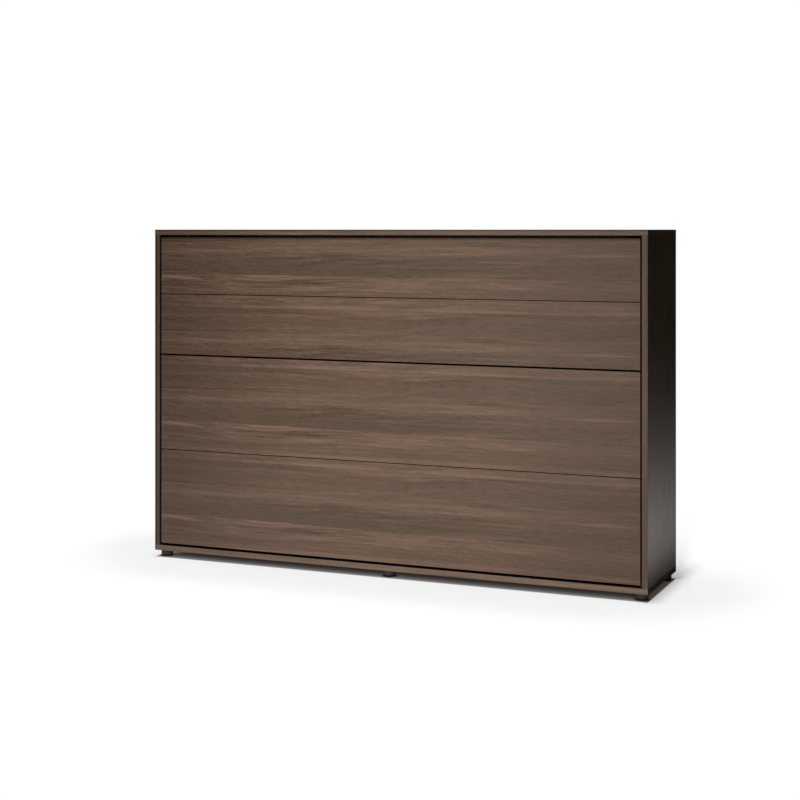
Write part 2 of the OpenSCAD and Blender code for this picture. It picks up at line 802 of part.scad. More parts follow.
// A cranked rectangular tube with a hub on the shaft
module leg(side) color(dark_steel)
    on_side(side) difference() {
        across(strut_x - leg_thick / 2, strut_x + leg_thick / 2) {
            translate([shaft_y, shaft_z]) circle(leg_hub_radius, $fn = round_faces);
            translate([leg_y, shaft_z - leg_width / 2]) square([leg_crank, leg_width]);
            translate([leg_y, shaft_z]) circle(leg_width / 2, $fn = round_faces);
            translate([leg_y - leg_width / 2, leg_low_z]) square([leg_width, shaft_z - leg_low_z]);
        }
        rod_x(strut_x - leg_thick, strut_x + leg_thick, shaft_y, shaft_z, shaft_diameter / 2 + 0.02);
        translate([strut_x - leg_thick / 2 + leg_wall, leg_y - leg_width / 2 + leg_wall, leg_low_z - cut])
            cube([leg_thick - 2 * leg_wall, leg_width - 2 * leg_wall,
                  shaft_z - leg_low_z - leg_width]);
    }

module left_leg() leg(-1);
module right_leg() leg(1);

module leg_pad(side) color(black)
    on_side(side) {
        translate([strut_x, leg_y, leg_low_z - pad_height])
            linear_extrude(pad_height) rounded_outline(leg_thick + 3, leg_width + 1, 3);
        translate([strut_x, leg_y, leg_low_z - cut])
            linear_extrude(14) square([leg_thick - 2 * leg_wall - 0.4, leg_width - 2 * leg_wall - 0.4],
                center = true);
    }

module left_leg_pad() leg_pad(-1);
module right_leg_pad() leg_pad(1);

// Gas struts, drawn along their own axis from the cabinet stud

module along_strut(side) {
    on_side(side) translate([strut_x, anchor_y, anchor_z]) rotate([strut_tilt, 0, 0]) children();
}

// A flat-sided eye about the X axis, with a neck towards +Z
module strut_eye(neck) {
    rod_x(-eye_thick / 2, eye_thick / 2, 0, 0, eye_radius);
    cylinder(h = neck, r = rod_diameter / 2, $fn = round_faces);
}

module strut_cylinder(side) color(black)
    along_strut(side) difference() {
        union() {
            strut_eye(tube_start + cut);
            translate([0, 0, tube_start])
                cylinder(h = 3, r1 = strut_diameter / 2 - 3, r2 = strut_diameter / 2, $fn = round_faces);
            translate([0, 0, tube_start + 3])
                cylinder(h = tube_end - tube_start - 5, d = strut_diameter, $fn = round_faces);
            translate([0, 0, tube_end - 2])
                cylinder(h = 2, r1 = strut_diameter / 2, r2 = strut_diameter / 2 - 2, $fn = round_faces);
        }
        rod_x(-eye_thick, eye_thick, 0, 0, strut_stud / 2 + run_gap);
        translate([0, 0, tube_start + tube_cap])
            cylinder(h = tube_end - tube_start - 2 * tube_cap, r = strut_diameter / 2 - strut_wall,
                $fn = round_faces);
        translate([0, 0, tube_end - 2 * tube_cap])
            cylinder(h = 3 * tube_cap, r = rod_diameter / 2 + run_gap, $fn = round_faces);
    }

module left_strut_cylinder() strut_cylinder(-1);
module right_strut_cylinder() strut_cylinder(1);

module strut_rod(side) color("#c9cbcf")
    along_strut(side) translate([0, 0, strut_length]) mirror([0, 0, 1]) difference() {
        union() {
            strut_eye(rod_reach - cut);
            translate([0, 0, rod_reach - piston_thick])
                cylinder(h = piston_thick, r = strut_diameter / 2 - strut_wall - run_gap,
                    $fn = round_faces);
        }
        rod_x(-eye_thick, eye_thick, 0, 0, strut_stud / 2 + run_gap);
    }

module left_strut_rod() strut_rod(-1);
module right_strut_rod() strut_rod(1);

// A shoulder bolt in the rod's eye; its head is on the side panel's side
module strut_bolt(side) color(steel)
    along_strut(side) translate([0, 0, strut_length]) difference() {
        union() {
            rod_x(-eye_thick / 2, eye_thick / 2 + 1, 0, 0, strut_stud / 2);
            rod_x(eye_thick / 2, eye_thick / 2 + 2.5, 0, 0, strut_stud / 2 + 3);
        }
        translate([eye_thick / 2 + 1.5, 0, 0]) rotate([0, 90, 0]) cylinder(h = 2, r = 2.5, $fn = 6);
    }

module left_strut_bolt() strut_bolt(-1);
module right_strut_bolt() strut_bolt(1);

top_panel();
bottom_panel();
left_side_panel();
right_side_panel();
back_top_rail();
back_middle_rail();
back_bottom_rail();
wall_brackets();
cam_fittings();
left_pivot_plate();
right_pivot_plate();
left_strut_anchor();
right_strut_anchor();
plate_screws();
stop_blocks();
stop_buffers();
foot_front_left();
foot_front_middle();
foot_front_right();
foot_back_left();
foot_back_middle();
foot_back_right();
foot_studs();
front_board_1();
front_board_2();
front_board_3();
front_board_4();
frame_lower_rail();
frame_upper_rail();
frame_left_rail();
frame_right_rail();
left_cross_bar();
middle_cross_bar();
right_cross_bar();
rail_caps();
board_screws();
slats();
slat_holders();
mattress_ledge();
left_strap();
right_strap();
strap_plates();
strap_buckles();
left_lever_plate();
right_lever_plate();
left_pivot_bush();
right_pivot_bush();
stop_tabs();
leg_bearings();
leg_shaft();
left_leg();
right_leg();
left_leg_pad();
right_leg_pad();
left_strut_cylinder();
right_strut_cylinder();
left_strut_rod();
right_strut_rod();
left_strut_bolt();
right_strut_bolt();
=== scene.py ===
# %% [markdown]
# # A wall bed in walnut laminate
# The bed lies closed in a low cabinet on six feet. Its construction comes from the packed
# CAD model, and this lesson gives that model its looks: laminate, steel, birch, plastic and
# webbing. The first cell loads the model as a fixed frame.

# %% The frame
import math

import bpy
import numpy as np
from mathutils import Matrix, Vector


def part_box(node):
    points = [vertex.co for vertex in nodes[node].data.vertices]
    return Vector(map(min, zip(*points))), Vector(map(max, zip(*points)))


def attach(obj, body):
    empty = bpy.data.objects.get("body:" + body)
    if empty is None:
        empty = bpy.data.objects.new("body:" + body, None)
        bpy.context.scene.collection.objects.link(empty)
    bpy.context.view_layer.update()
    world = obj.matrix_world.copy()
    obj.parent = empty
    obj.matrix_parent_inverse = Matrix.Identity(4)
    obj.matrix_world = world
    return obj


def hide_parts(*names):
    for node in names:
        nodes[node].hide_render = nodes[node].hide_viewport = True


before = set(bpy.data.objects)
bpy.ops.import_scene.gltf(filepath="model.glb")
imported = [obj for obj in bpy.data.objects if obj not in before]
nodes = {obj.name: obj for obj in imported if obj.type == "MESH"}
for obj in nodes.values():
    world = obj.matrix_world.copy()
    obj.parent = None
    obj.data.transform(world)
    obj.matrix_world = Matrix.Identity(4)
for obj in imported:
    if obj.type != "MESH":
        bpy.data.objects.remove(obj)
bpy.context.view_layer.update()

print("pieces from the CAD model:", len(nodes))

# %% [markdown]
# ## The camera
# A photograph of furniture is taken with an upright camera, so that vertical edges stay
# vertical. We keep the camera level and shift the lens down instead of tilting it. It
# stands to the right of the bed, at the height of the cabinet's top, so the top shows as
# one thin edge.

# %% The camera
camera_data = bpy.data.cameras.new("camera")
camera_data.lens = 71.27
camera_data.sensor_width = 36
camera_data.shift_y = -0.213
camera = bpy.data.objects.new("camera", camera_data)
camera.location = (2.511, -5.931, 1.372)
camera.rotation_euler = (math.radians(90), 0, math.radians(23.2))
bpy.context.scene.collection.objects.link(camera)
bpy.context.scene.camera = camera
bpy.context.scene.view_settings.view_transform = "Standard"
print("camera at", [round(c, 2) for c in camera.location])

# %% [markdown]
# ## Sums with sockets
# Shader nodes are easier to read as sums than as wires. The class `Value` wraps one socket.
# Adding, subtracting, multiplying or dividing two of them adds a Math node and returns its
# output, and the reflected methods make `1 - mask` work as well. `Finish` is a material
# that is being built. Its method `node` adds any kind of node, and the others add those that
# most of our materials need.

# %% Values and finishes
class Value:
    """One socket. Arithmetic on it adds Math nodes to its material."""

    def __init__(self, finish, socket):
        self.finish, self.socket = finish, socket

    def maths(self, operation, *numbers):
        return self.finish.maths(operation, *numbers)

    def __add__(self, other):
        return self.maths("ADD", self, other)

    def __sub__(self, other):
        return self.maths("SUBTRACT", self, other)

    def __rsub__(self, other):
        return self.maths("SUBTRACT", other, self)

    def __mul__(self, other):
        return self.maths("MULTIPLY", self, other)

    def __truediv__(self, other):
        return self.maths("DIVIDE", self, other)

    def __pow__(self, other):
        return self.maths("POWER", self, other)

    __radd__ = __add__
    __rmul__ = __mul__

    def step(self, low, high, to_low=0.0, to_high=1.0):
        """Rises smoothly from to_low to to_high while the value goes from low to high."""
        return self.finish.node("MapRange", {"interpolation_type": "SMOOTHSTEP"}, {
            "Value": self, "From Min": low, "From Max": high, "To Min": to_low,
            "To Max": to_high})[0]

    def bell(self, middle, width):
        """One at middle, falling smoothly to about a third at half the width away."""
        return self.maths("EXPONENT", ((self - middle) * (2 / width)) ** 2 * -1)


# how far the noise moves from one seed to the next
SEED_STEP = (17.3, 9.1, 5.7)


class Finish:
    """A material that is being built: a Principled shader and the nodes that feed it."""

    def __init__(self, name, owner=None, **constants):
        self.material = owner or bpy.data.materials.new(name)
        self.material.use_nodes = True
        self.tree = self.material.node_tree
        self.shader = self.tree.nodes.get("Principled BSDF")
        for socket, value in constants.items():
            self.shader.inputs[socket.replace("_", " ")].default_value = value

    def node(self, kind, settings=None, inputs=None):
        """Adds a node, sets it up, then fills or links its inputs; returns its outputs."""
        made = self.tree.nodes.new("ShaderNode" + kind)
        for name, value in (settings or {}).items():
            if name == "stops":
                ramp = made.color_ramp
                while len(ramp.elements) < len(value):
                    ramp.elements.new(1)
                for element, (place, colour) in zip(ramp.elements, value):
                    element.position, element.color = place, (*colour, 1)
            else:
                setattr(made, name, value)
        for name, value in (inputs or {}).items():
            if isinstance(value, Value):
                self.tree.links.new(value.socket, made.inputs[name])
            else:
                made.inputs[name].default_value = value
        return [Value(self, output) for output in made.outputs]

    def maths(self, operation, *numbers):
        """The result of a Math node on values or numbers."""
        return self.node("Math", {"operation": operation}, dict(enumerate(numbers)))[0]

    def feed(self, socket, value):
        """Links a value to a socket of the shader."""
        self.tree.links.new(value.socket, self.shader.inputs[socket])

    def place(self, turn=(0, 0, 0), move=(0, 0, 0)):
        """Object coordinates in metres: turned, then moved."""
        where = self.node("TexCoord")[3]
        return self.node("Mapping", inputs={"Vector": where, "Rotation": turn,
                                            "Location": move})[0]

    def apart(self, where):
        """The X, Y and Z of a place as three values."""
        return self.node("SeparateXYZ", inputs={0: where})

    def noise(self, where, scale, detail=2.0, roughness=0.5, seed=0.0):
        """Noise about 0.5 at a place; scale is one number, or one for each direction."""
        three = (scale,) * 3 if isinstance(scale, (int, float)) else scale
        where = self.node("VectorMath", {"operation": "MULTIPLY_ADD"}, {
            0: where, 1: three, 2: [seed * far for far in SEED_STEP]})[0]
        return self.node("TexNoise", inputs={"Vector": where, "Scale": 1.0, "Detail": detail,
                                             "Roughness": roughness})[0]

    def ramp(self, value, *stops):
        """The colour that a value picks. Each stop is a place and its colour."""
        return self.node("ValToRGB", {"stops": stops}, {0: value})[0]

    def mix(self, factor, first, second, blend="MIX"):
        """Mixes two colours: values, or red, green and blue numbers."""
        def four(colour):
            return colour if isinstance(colour, Value) else (*colour, 1)
        return self.node("Mix", {"data_type": "RGBA", "blend_type": blend},
                         {0: factor, 6: four(first), 7: four(second)})[2]

    def times(self, first, second):
        """Multiplies two colours."""
        return self.mix(1.0, first, second, "MULTIPLY")

    def cover(self, mask, colour):
        """Covers the shader with a quite matt colour where the mask is one."""
        matt = self.node("BsdfDiffuse", inputs={"Color": (*colour, 1)})[0]
        both = self.node("MixShader", inputs={
            0: mask, 1: Value(self, self.shader.outputs[0]), 2: matt})[0]
        self.tree.links.new(both.socket, self.tree.nodes["Material Output"].inputs[0])

    def bump(self, height, distance, strength=1.0):
        """Feeds the normal with a height in metres times distance."""
        self.feed("Normal", self.node("Bump", inputs={
            "Height": height, "Distance": distance, "Strength": strength})[0])


print("helpers ready:", Value.__name__, Finish.__name__)

# %% [markdown]
# ## Walnut laminate
# The panels are chipboard with a printed decor, pressed with a faint grain. A print has no
# knots or rays, but it has order: broad bands that run the whole length of a board, long
# light streaks with a darker line beneath them, short dark and light dashes in between,
# fine fibres, and pores like short scratches. Each is noise that is stretched along the
# grain, and a slow wave bends them all together, as a saw cut through a slightly crooked
# trunk does. Every front board is cut from the same print, some further down it than
# others, so the bands lie at fixed depths under each board's top edge.

# %% Walnut laminate
# the print's two colours, each from dark to light; the painted shade near edges; the black of
# board edges, painted shade for the gaps round the boards; and the colour of end bands
BROWN = ((0.040, 0.022, 0.014), (0.106, 0.065, 0.044), (0.212, 0.130, 0.092))
OLIVE = ((0.041, 0.025, 0.015), (0.106, 0.070, 0.046), (0.190, 0.132, 0.089))
PAINTED_SHADE = (0.020, 0.012, 0.009)
EDGE_SHADE = (0.003, 0.003, 0.003)
END_BAND = (0.200, 0.155, 0.125)
# the depths behind a front face at which its shade is still full, and has ended
FULL, ENDED = 0.0002, 0.0010
# the depths where a band begins and ends, how soft each end is, and how much lighter it is
# at the left end, in the middle and at the right end of the print
BANDS = [
    (0.010, 0.028, 0.006, 0.006, -0.3, 0.6, 0.3),
    (0.038, 0.0505, 0.007, 0.002, 0.3, 1.0, 1.0),
    (0.0505, 0.075, 0.002, 0.015, -0.7, -0.4, -0.1),
    (0.086, 0.146, 0.008, 0.006, -0.5, -0.3, -0.4),
    (0.147, 0.153, 0.0015, 0.002, -0.9, 0.0, 0.0),
    (0.170, 0.204, 0.007, 0.014, 0.1, 0.9, 0.6),
    (0.228, 0.2905, 0.012, 0.003, -0.5, -0.4, -0.3),
    (0.2905, 0.307, 0.0025, 0.006, 1.6, 1.1, 0.3),
    (0.307, 0.332, 0.004, 0.006, 0.7, 0.8, 0.5),
    (0.332, 0.350, 0.004, 0.008, 0.5, 0.0, 0.2),
    (0.345, 0.357, 0.004, 0.004, 0.6, -0.3, -0.1),
    (0.364, 0.388, 0.008, 0.004, 0.2, -0.6, -0.2),
    (0.394, 0.450, 0.005, 0.02, 0.8, 1.0, 0.7),
]
BAND_STRENGTH = 0.175
# the depths between which the streaks are livelier
STREAKY = (0.291, 0.362)


def banded(finish, across, depth):
    """The sum of the bands. Each rises at its beginning and falls at its end, and its
    strength runs evenly from the left end through the middle to the right end."""
    per_metre = 1.1
    to_left = finish.maths("MAXIMUM", across * -per_metre, 0.0)
    to_right = finish.maths("MAXIMUM", across * per_metre, 0.0)
    total = None
    for begin, end, soft_begin, soft_end, at_left, middle, at_right in BANDS:
        band = depth.step(begin - soft_begin, begin + soft_begin) * depth.step(
            end - soft_end, end + soft_end, 1.0, 0.0)
        band = band * (to_left * (at_left - middle) + to_right * (at_right - middle) + middle)
        total = band if total is None else total + band
    return total


def laminate(name, turn=(0, 0, 0), top=0.0, shift=0.0, bands=True, light=0.0, shaded_edges=None,
             lines=(), end_face=None):
    """Walnut print. The grain runs along X after the turn, and top is the height from
    which the bands count down. Tone is a middle value, plus the bands and each noise times
    its strength, plus light: painted light or shade that makes this copy of the print
    lighter or darker for how much light falls on its panel. With bands, the print also
    darkens towards both ends, which is painted shade where the lamps light the boards less.
    Tone picks a colour from dark to light brown, or from dark to light olive where a slower
    noise says so. The argument for shaded edges, if given, holds the depths between which the
    board's edges are black: painted shade for the gaps round the boards. Each of lines paints
    shade on the surface towards an edge: it has the direction, the places where that begins
    and is full, the front face's depth or None for all faces, and how dark. end_face is how
    far from the middle the ends lie, if a plain matt band is on them."""
    finish = Finish(name, Specular_IOR_Level=0.36)

    def grain(at, along, across, detail, seed, roughness=0.5):
        """Noise about zero, with so many waves a metre along the grain and across it."""
        return finish.noise(at, (along, across, across), detail, roughness, seed) - 0.5

    def bent(at, wave):
        """A place that a wave has moved across the grain."""
        bend = finish.node("CombineXYZ", inputs={"Y": wave, "Z": wave})[0]
        return finish.node("VectorMath", {"operation": "ADD"}, {0: at, 1: bend})[0]

    flat = finish.place(turn, (shift, 0, -top))
    wave = grain(flat, 0.9, 2.5, 1.0, 1) * 0.05 + grain(flat, 2.6, 12, 1.0, 2) * 0.014
    where = bent(flat, wave)
    there = bent(where, grain(flat, 1.4, 6, 0.0, 11) * 0.04)
    zones = grain(where, 0.9, 9, 2.0, 3)
    broad = grain(where, 1.3, 42, 1.0, 4)
    streaks = grain(there, 2.4, 120, 1.5, 5, 0.6)
    short = grain(there, 24, 300, 2.0, 9, 0.6)
    fibres = grain(there, 160, 1500, 1.0, 6)
    lively = finish.noise(where, (2.0, 22, 22), 1.0, seed=10).step(0.35, 0.65, 0.4, 1.2)
    pink = broad * 1.2 + streaks + zones * 0.6 + (0.35 if bands else 0.10)
    tone = zones * 0.4 + 0.47 + light
    if bands:
        across, _, height = finish.apart(flat)
        depth = height * -1 + wave * 0.25 + streaks * 0.006
        total = banded(finish, across, depth)
        first, last = STREAKY
        streaky = depth.step(first - 0.002, first + 0.002) * depth.step(
            last - 0.02, last + 0.01, 1.0, 0.0)
        # painted shade: the print darkens towards both ends, where the lamps light the boards
        # less; the left end is also pinker
        shaded_left_end = across.step(-1.0, -0.55, 1.0, 0.0)
        shaded_right_end = across.step(0.3, 1.0)
        lively = lively + streaky * (0.35 - across * 0.45)
        tone = tone + total * (streaks * 1.1 + zones * 0.7 + 1.0) * BAND_STRENGTH
        tone = tone - shaded_left_end * 0.08 - shaded_right_end * 0.06
        pink = pink + total * 0.25 + streaky * 0.15 + shaded_left_end * 0.2
    tone = tone + (broad * 0.45 + streaks * 0.7) * lively + short * 0.65 + fibres * 0.3
    pores = finish.noise(where, (70, 1500, 1500), 1.0, seed=8).step(0.60, 0.70)
    tone = finish.node("Clamp", inputs={0: tone - pores * 0.14})[0]
    brown, olive = [finish.ramp(tone, *zip((0.0, 0.5, 1.0), colours))
                    for colours in (BROWN, OLIVE)]
    colour = finish.mix(pink.step(-0.15, 0.78), olive, brown)
    place = dict(zip("XYZ", finish.apart(finish.place())))
    # each of lines paints shade on the surface towards an edge
    for axis, inner, outer, face, most in lines:
        low, high = min(inner, outer), max(inner, outer)
        ends = (0.0, most) if outer > inner else (most, 0.0)
        dark = place[axis].step(low, high, *ends)
        if face is not None:
            dark = dark * place["Y"].step(face + FULL, face + ENDED, 1.0, 0.0)
        colour = finish.mix(dark, colour, PAINTED_SHADE)
    # painted shade: black board edges stand for the shade in the gaps round the boards
    if shaded_edges:
        first, last = shaded_edges
        edge_shade_mask = place["Y"].step(first, first + 0.0004) * place["Y"].step(
            last - 0.0005, last, 1.0, 0.0)
        finish.cover(edge_shade_mask, EDGE_SHADE)
    if end_face:
        outward = finish.maths("ABSOLUTE", place["X"])
        finish.cover(outward.step(end_face - 0.0002, end_face, 0.0, 0.8), END_BAND)
    finish.feed("Base Color", colour)
    finish.feed("Roughness", 0.32 + short * 0.2 + streaks * 0.25)
    finish.bump(tone * 0.6 + fibres * 0.4 - pores * 0.5, 0.00012, 0.5)
    return finish.material


def dress(material, *names):
    """Gives CAD pieces a material in all their slots."""
    for name in names:
        slots = nodes[name].data.materials
        slots.clear()
        slots.append(material)


# each board's number, how far down the print it is cut, and how soft its top edge's shade is
for number, down, soft in ((1, 0.134, 0.011), (2, 0.0, 0.0026), (3, 0.015, 0.0017),
                           (4, 0.018, 0.0026)):
    low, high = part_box(f"front_board_{number}")
    # painted shade: at board 1's top the top panel's shadow, at the other boards' tops the shade
    # in the seams, and at each board's left end the shade in the gap
    painted_shades = [("Z", high.z - soft, high.z - soft * 0.2, low.y, 0.75),
              ("X", low.x + 0.0030, low.x + 0.0014, low.y, 0.9)]
    dress(laminate(f"walnut_board_{number}", top=high.z + down, lines=painted_shades,
                   shaded_edges=(low.y + 0.0002, high.y - 0.0002)), f"front_board_{number}")
# light makes each copy of the print lighter or darker: painted light on the bottom panel, which
# the floor lights, and painted shade on the side panels
# painted shade: the top panel's front darkens towards its top edge, the left panel's towards its
# outer edge, and both side panels near their front edge
low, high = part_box("top_panel")
dress(laminate("walnut_top", top=1.3, shift=3.1, bands=False, light=0.05,
               lines=[("Z", high.z - 0.011, high.z - 0.002, low.y, 0.6)]), "top_panel")
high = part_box("bottom_panel")[1]
dress(laminate("walnut_bottom", top=0.02, shift=5.3, bands=False, light=0.22,
               end_face=high.x), "bottom_panel")
upright = (0, math.radians(90), 0)
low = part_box("left_side_panel")[0]
dress(laminate("walnut_left_side", upright, shift=7.7, bands=False, light=-0.13,
               lines=[("X", low.x + 0.0095, low.x + 0.0072, low.y, 1.0),
                      ("Y", low.y + ENDED, low.y + FULL, None, 0.18)]), "left_side_panel")
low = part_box("right_side_panel")[0]
dress(laminate("walnut_right_side", upright, shift=9.2, bands=False, light=-0.10,
               lines=[("Y", low.y + ENDED, low.y + FULL, None, 0.10)]), "right_side_panel")
for name, shift in (("top", 1.3), ("middle", 2.9), ("bottom", 4.7)):
    dress(laminate(f"walnut_back_{name}", shift=shift, bands=False), f"back_{name}_rail")
print("laminate on", sum("walnut" in m.name for m in bpy.data.materials), "pieces")

# %% [markdown]
# ## Steel, plastic and rubber
# Behind the boards nothing is laminate. Zinc plating is a soft grey metal with cloudy
# patches. The tubes have a black powder coat, which is satin with a fine orange peel.
# Moulded plastic has a finer, even grain, and rubber is duller still. The feet are moulded
# too, and darker towards the bottom. The strut rods are chromed and ground, so they are smooth
# along their length.

# %% Metals, plastic and rubber
boards_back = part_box("front_board_1")[1].y
ZINC = (0.60, 0.61, 0.62)
BLACK_COAT = (0.016, 0.016, 0.018)


def zinc(name):
    """Zinc plating: cloudy roughness, and a brightness that drifts by about a tenth."""
    finish = Finish(name, Metallic=1.0)
    where = finish.place()
    cloud = finish.noise(where, 22, 3.0, seed=1)
    fine = finish.noise(where, 420, 2.0, seed=2)
    finish.feed("Base Color", finish.mix(cloud, [c * 0.84 for c in ZINC], ZINC))
    finish.feed("Roughness", cloud * 0.22 + fine * 0.10 + 0.22)
    finish.bump(fine, 0.00004)
    return finish.material


def powder_coat(name):
    """Powder coat: orange peel 1.5 mm across, over slow swells. The faces against the
    boards, which show only in the seams, are covered with a matt near-black: painted shade
    in the seams."""
    finish = Finish(name, Specular_IOR_Level=0.22)
    where = finish.place()
    peel = finish.noise(where, 700, 1.0, seed=3)
    swell = finish.noise(where, 60, 2.0, seed=4)
    # painted shade: the faces against the boards, seen only in the seams, are covered near black
    behind = finish.apart(where)[1].step(boards_back + 0.0004, boards_back + 0.0008)
    finish.feed("Base Color", finish.mix(swell, [c * 0.8 for c in BLACK_COAT],
                                         [c * 1.3 for c in BLACK_COAT]))
    finish.feed("Roughness", swell * 0.16 + 0.42)
    finish.cover(1 - behind, (0.002, 0.002, 0.002))
    finish.bump(peel + swell * 0.5, 0.00012, 0.6)
    return finish.material


def moulded(name, colour, roughness, grain=1800, relief=0.00006):
    """Moulded plastic or rubber: an even fine grain, a little duller on its heights."""
    finish = Finish(name)
    where = finish.place()
    texture = finish.noise(where, grain, 2.0, 0.6, seed=5)
    patch = finish.noise(where, 35, 2.0, seed=6)
    finish.feed("Base Color", finish.mix(patch, [c * 0.85 for c in colour],
                                         [c * 1.15 for c in colour]))
    finish.feed("Roughness", texture * 0.12 + roughness - 0.06)
    finish.bump(texture, relief)
    return finish.material


def foot_finish(name):
    """Moulded plastic, darker in the lowest 7 mm."""
    finish = Finish(name, Specular_IOR_Level=0.25)
    where = finish.place()
    texture = finish.noise(where, 1800, 2.0, 0.6, seed=5)
    upper = finish.apart(where)[2].step(0.005, 0.009)
    finish.feed("Base Color", finish.mix(upper, (0.004, 0.004, 0.004), (0.030, 0.031, 0.031)))
    finish.feed("Roughness", texture * 0.12 + 0.36)
    finish.bump(texture, 0.00006)
    return finish.material


def chrome(name):
    """Hard chrome, ground round the rod: lines across its length, 0.3 mm apart."""
    finish = Finish(name, Metallic=1.0)
    where = finish.place()
    ground = finish.noise(where, (40, 40, 3200), 1.0, seed=7)
    finish.feed("Base Color", finish.mix(ground, (0.66, 0.67, 0.69), (0.74, 0.75, 0.76)))
    finish.feed("Roughness", ground * 0.10 + 0.08)
    return finish.material


zinc_plate = zinc("zinc_plate")
black_coat = powder_coat("black_coat")
foot_plastic = foot_finish("foot_plastic")
holder_plastic = moulded("holder_plastic", (0.026, 0.026, 0.028), 0.46)
bush_nylon = moulded("bush_nylon", (0.66, 0.64, 0.58), 0.42)
soft_rubber = moulded("soft_rubber", (0.016, 0.016, 0.016), 0.78, 900, 0.00012)
rod_chrome = chrome("rod_chrome")

dress(zinc_plate, "cam_fittings", "left_pivot_plate", "right_pivot_plate",
      "left_strut_anchor", "right_strut_anchor", "plate_screws", "foot_studs", "board_screws",
      "mattress_ledge", "strap_plates", "leg_shaft", "left_strut_bolt", "right_strut_bolt")
dress(black_coat, "frame_lower_rail", "frame_upper_rail", "frame_left_rail", "frame_right_rail",
      "left_cross_bar", "middle_cross_bar", "right_cross_bar", "left_lever_plate",
      "right_lever_plate", "stop_tabs", "leg_bearings", "left_leg", "right_leg",
      "left_strut_cylinder", "right_strut_cylinder", "wall_brackets")
dress(foot_plastic, *[name for name in nodes if name.startswith("foot_") and "stud" not in name])
dress(holder_plastic, "rail_caps", "slat_holders", "strap_buckles", "stop_blocks")
dress(soft_rubber, "stop_buffers", "left_leg_pad", "right_leg_pad")
dress(bush_nylon, "left_pivot_bush", "right_pivot_bush")
dress(rod_chrome, "left_strut_rod", "right_strut_rod")
print("finishes so far:", len(bpy.data.materials))

# %% [markdown]
# ## Slats of bent birch
# A slat is seven veneers, pressed into a slight bow. The CAD model has the plain blades;
# ours have rounded edges, and the veneers show there. The function below sweeps a rounded
# section along a path. It also stores where each point lies in its own blade, across,
# through and along, and the wood follows that, so that the veneers follow the bow.

# %% Slats
def swept(name, parts, width, thick, radius, side=(1.0, 0, 0)):
    """A mesh of bars with rounded edges. parts has the points of each bar's path, one a
    row. With q the nearest quadrant's corner and a the angle round it, a point lies at
    path + side (q_x (width/2 - radius) + radius cos a)
    + normal (q_y (thick/2 - radius) + radius sin a), where normal is run cross side. The
    attribute local has across, through and along, and each bar's along begins 1.7 m after
    the last one's, so that no two bars have the same grain."""
    points_a_corner, bar_step = 4, 1.7
    quadrant = np.repeat(np.arange(4), points_a_corner)
    angle = (quadrant + np.tile(np.linspace(0, 1, points_a_corner), 4)) * np.pi / 2
    middle = (quadrant + 0.5) * np.pi / 2
    across = np.sign(np.cos(middle)) * (width / 2 - radius) + radius * np.cos(angle)
    through = np.sign(np.sin(middle)) * (thick / 2 - radius) + radius * np.sin(angle)
    ring = len(angle)
    points, local, faces = [], [], []
    for path in parts:
        run = np.gradient(path, axis=0)
        run /= np.linalg.norm(run, axis=1, keepdims=True)
        normal = np.cross(run, side)
        grid = (path[:, None] + across[None, :, None] * np.array(side)
                + through[None, :, None] * normal[:, None])
        steps = np.linalg.norm(np.diff(path, axis=0, prepend=path[:1]), axis=1)
        along = np.cumsum(steps)[:, None] + 0 * across
        start = sum(len(block) for block in points)
        points.append(grid.reshape(-1, 3))
        local.append(np.stack([across + 0 * along, through + 0 * along, along], 2)
                     .reshape(-1, 3) + np.array([0, 0, bar_step * len(local)]))
        row, column = np.meshgrid(np.arange(len(path) - 1), np.arange(ring), indexing="ij")
        after = (column + 1) % ring
        quads = np.stack([row * ring + column, row * ring + after, (row + 1) * ring + after,
                          (row + 1) * ring + column], 2).reshape(-1, 4) + start
        faces += quads.tolist()
        faces += [(start + np.arange(ring))[::-1].tolist(),
                  (start + (len(path) - 1) * ring + np.arange(ring)).tolist()]
    mesh = bpy.data.meshes.new(name)
    mesh.from_pydata(np.concatenate(points).tolist(), [], faces)
    mesh.attributes.new("local", "FLOAT_VECTOR", "POINT").data.foreach_set(
        "vector", np.concatenate(local).ravel())
    mesh.set_sharp_from_angle(angle=math.radians(50))
    made = bpy.data.objects.new(name, mesh)
    bpy.context.scene.collection.objects.link(made)
    return made


def birch(name):
    """Pressed birch. Through the blade, a triangle wave picks every second veneer, which
    runs crosswise and shows darker at the edge; fine fibres run along the blade."""
    veneer_thick = 0.00121
    finish = Finish(name, Coat_Weight=0.12, Coat_Roughness=0.35)
    where = finish.node("Attribute", {"attribute_name": "local"})[1]
    wave = finish.maths("PINGPONG", finish.apart(where)[1] / veneer_thick, 1.0)
    veneer = wave.step(0.40, 0.60)
    glue = wave.bell(0.5, 0.2)
    fibres = finish.noise(where, (420, 420, 12), 3.0, 0.6, seed=11)
    flames = finish.noise(where, (45, 45, 3.5), 2.0, 0.5, seed=12)
    blade = finish.noise(where, (0.4, 0.4, 0.6), 0.0, seed=13)
    tone = finish.node("Clamp", inputs={0: fibres * 0.5 + flames * 0.6 + blade * 0.5 - 0.3})[0]
    light = finish.ramp(tone, (0.0, (0.42, 0.25, 0.12)), (0.5, (0.60, 0.42, 0.24)),
                        (1.0, (0.74, 0.57, 0.37)))
    dark = finish.mix(fibres, (0.26, 0.14, 0.065), (0.42, 0.26, 0.13))
    colour = finish.mix(veneer, dark, light)
    finish.feed("Base Color", finish.mix(glue * 0.7, colour, (0.13, 0.06, 0.028)))
    finish.feed("Roughness", 0.36 + fibres * 0.2)
    finish.bump(fibres - glue * 0.5, 0.00008, 0.6)
    return finish.material


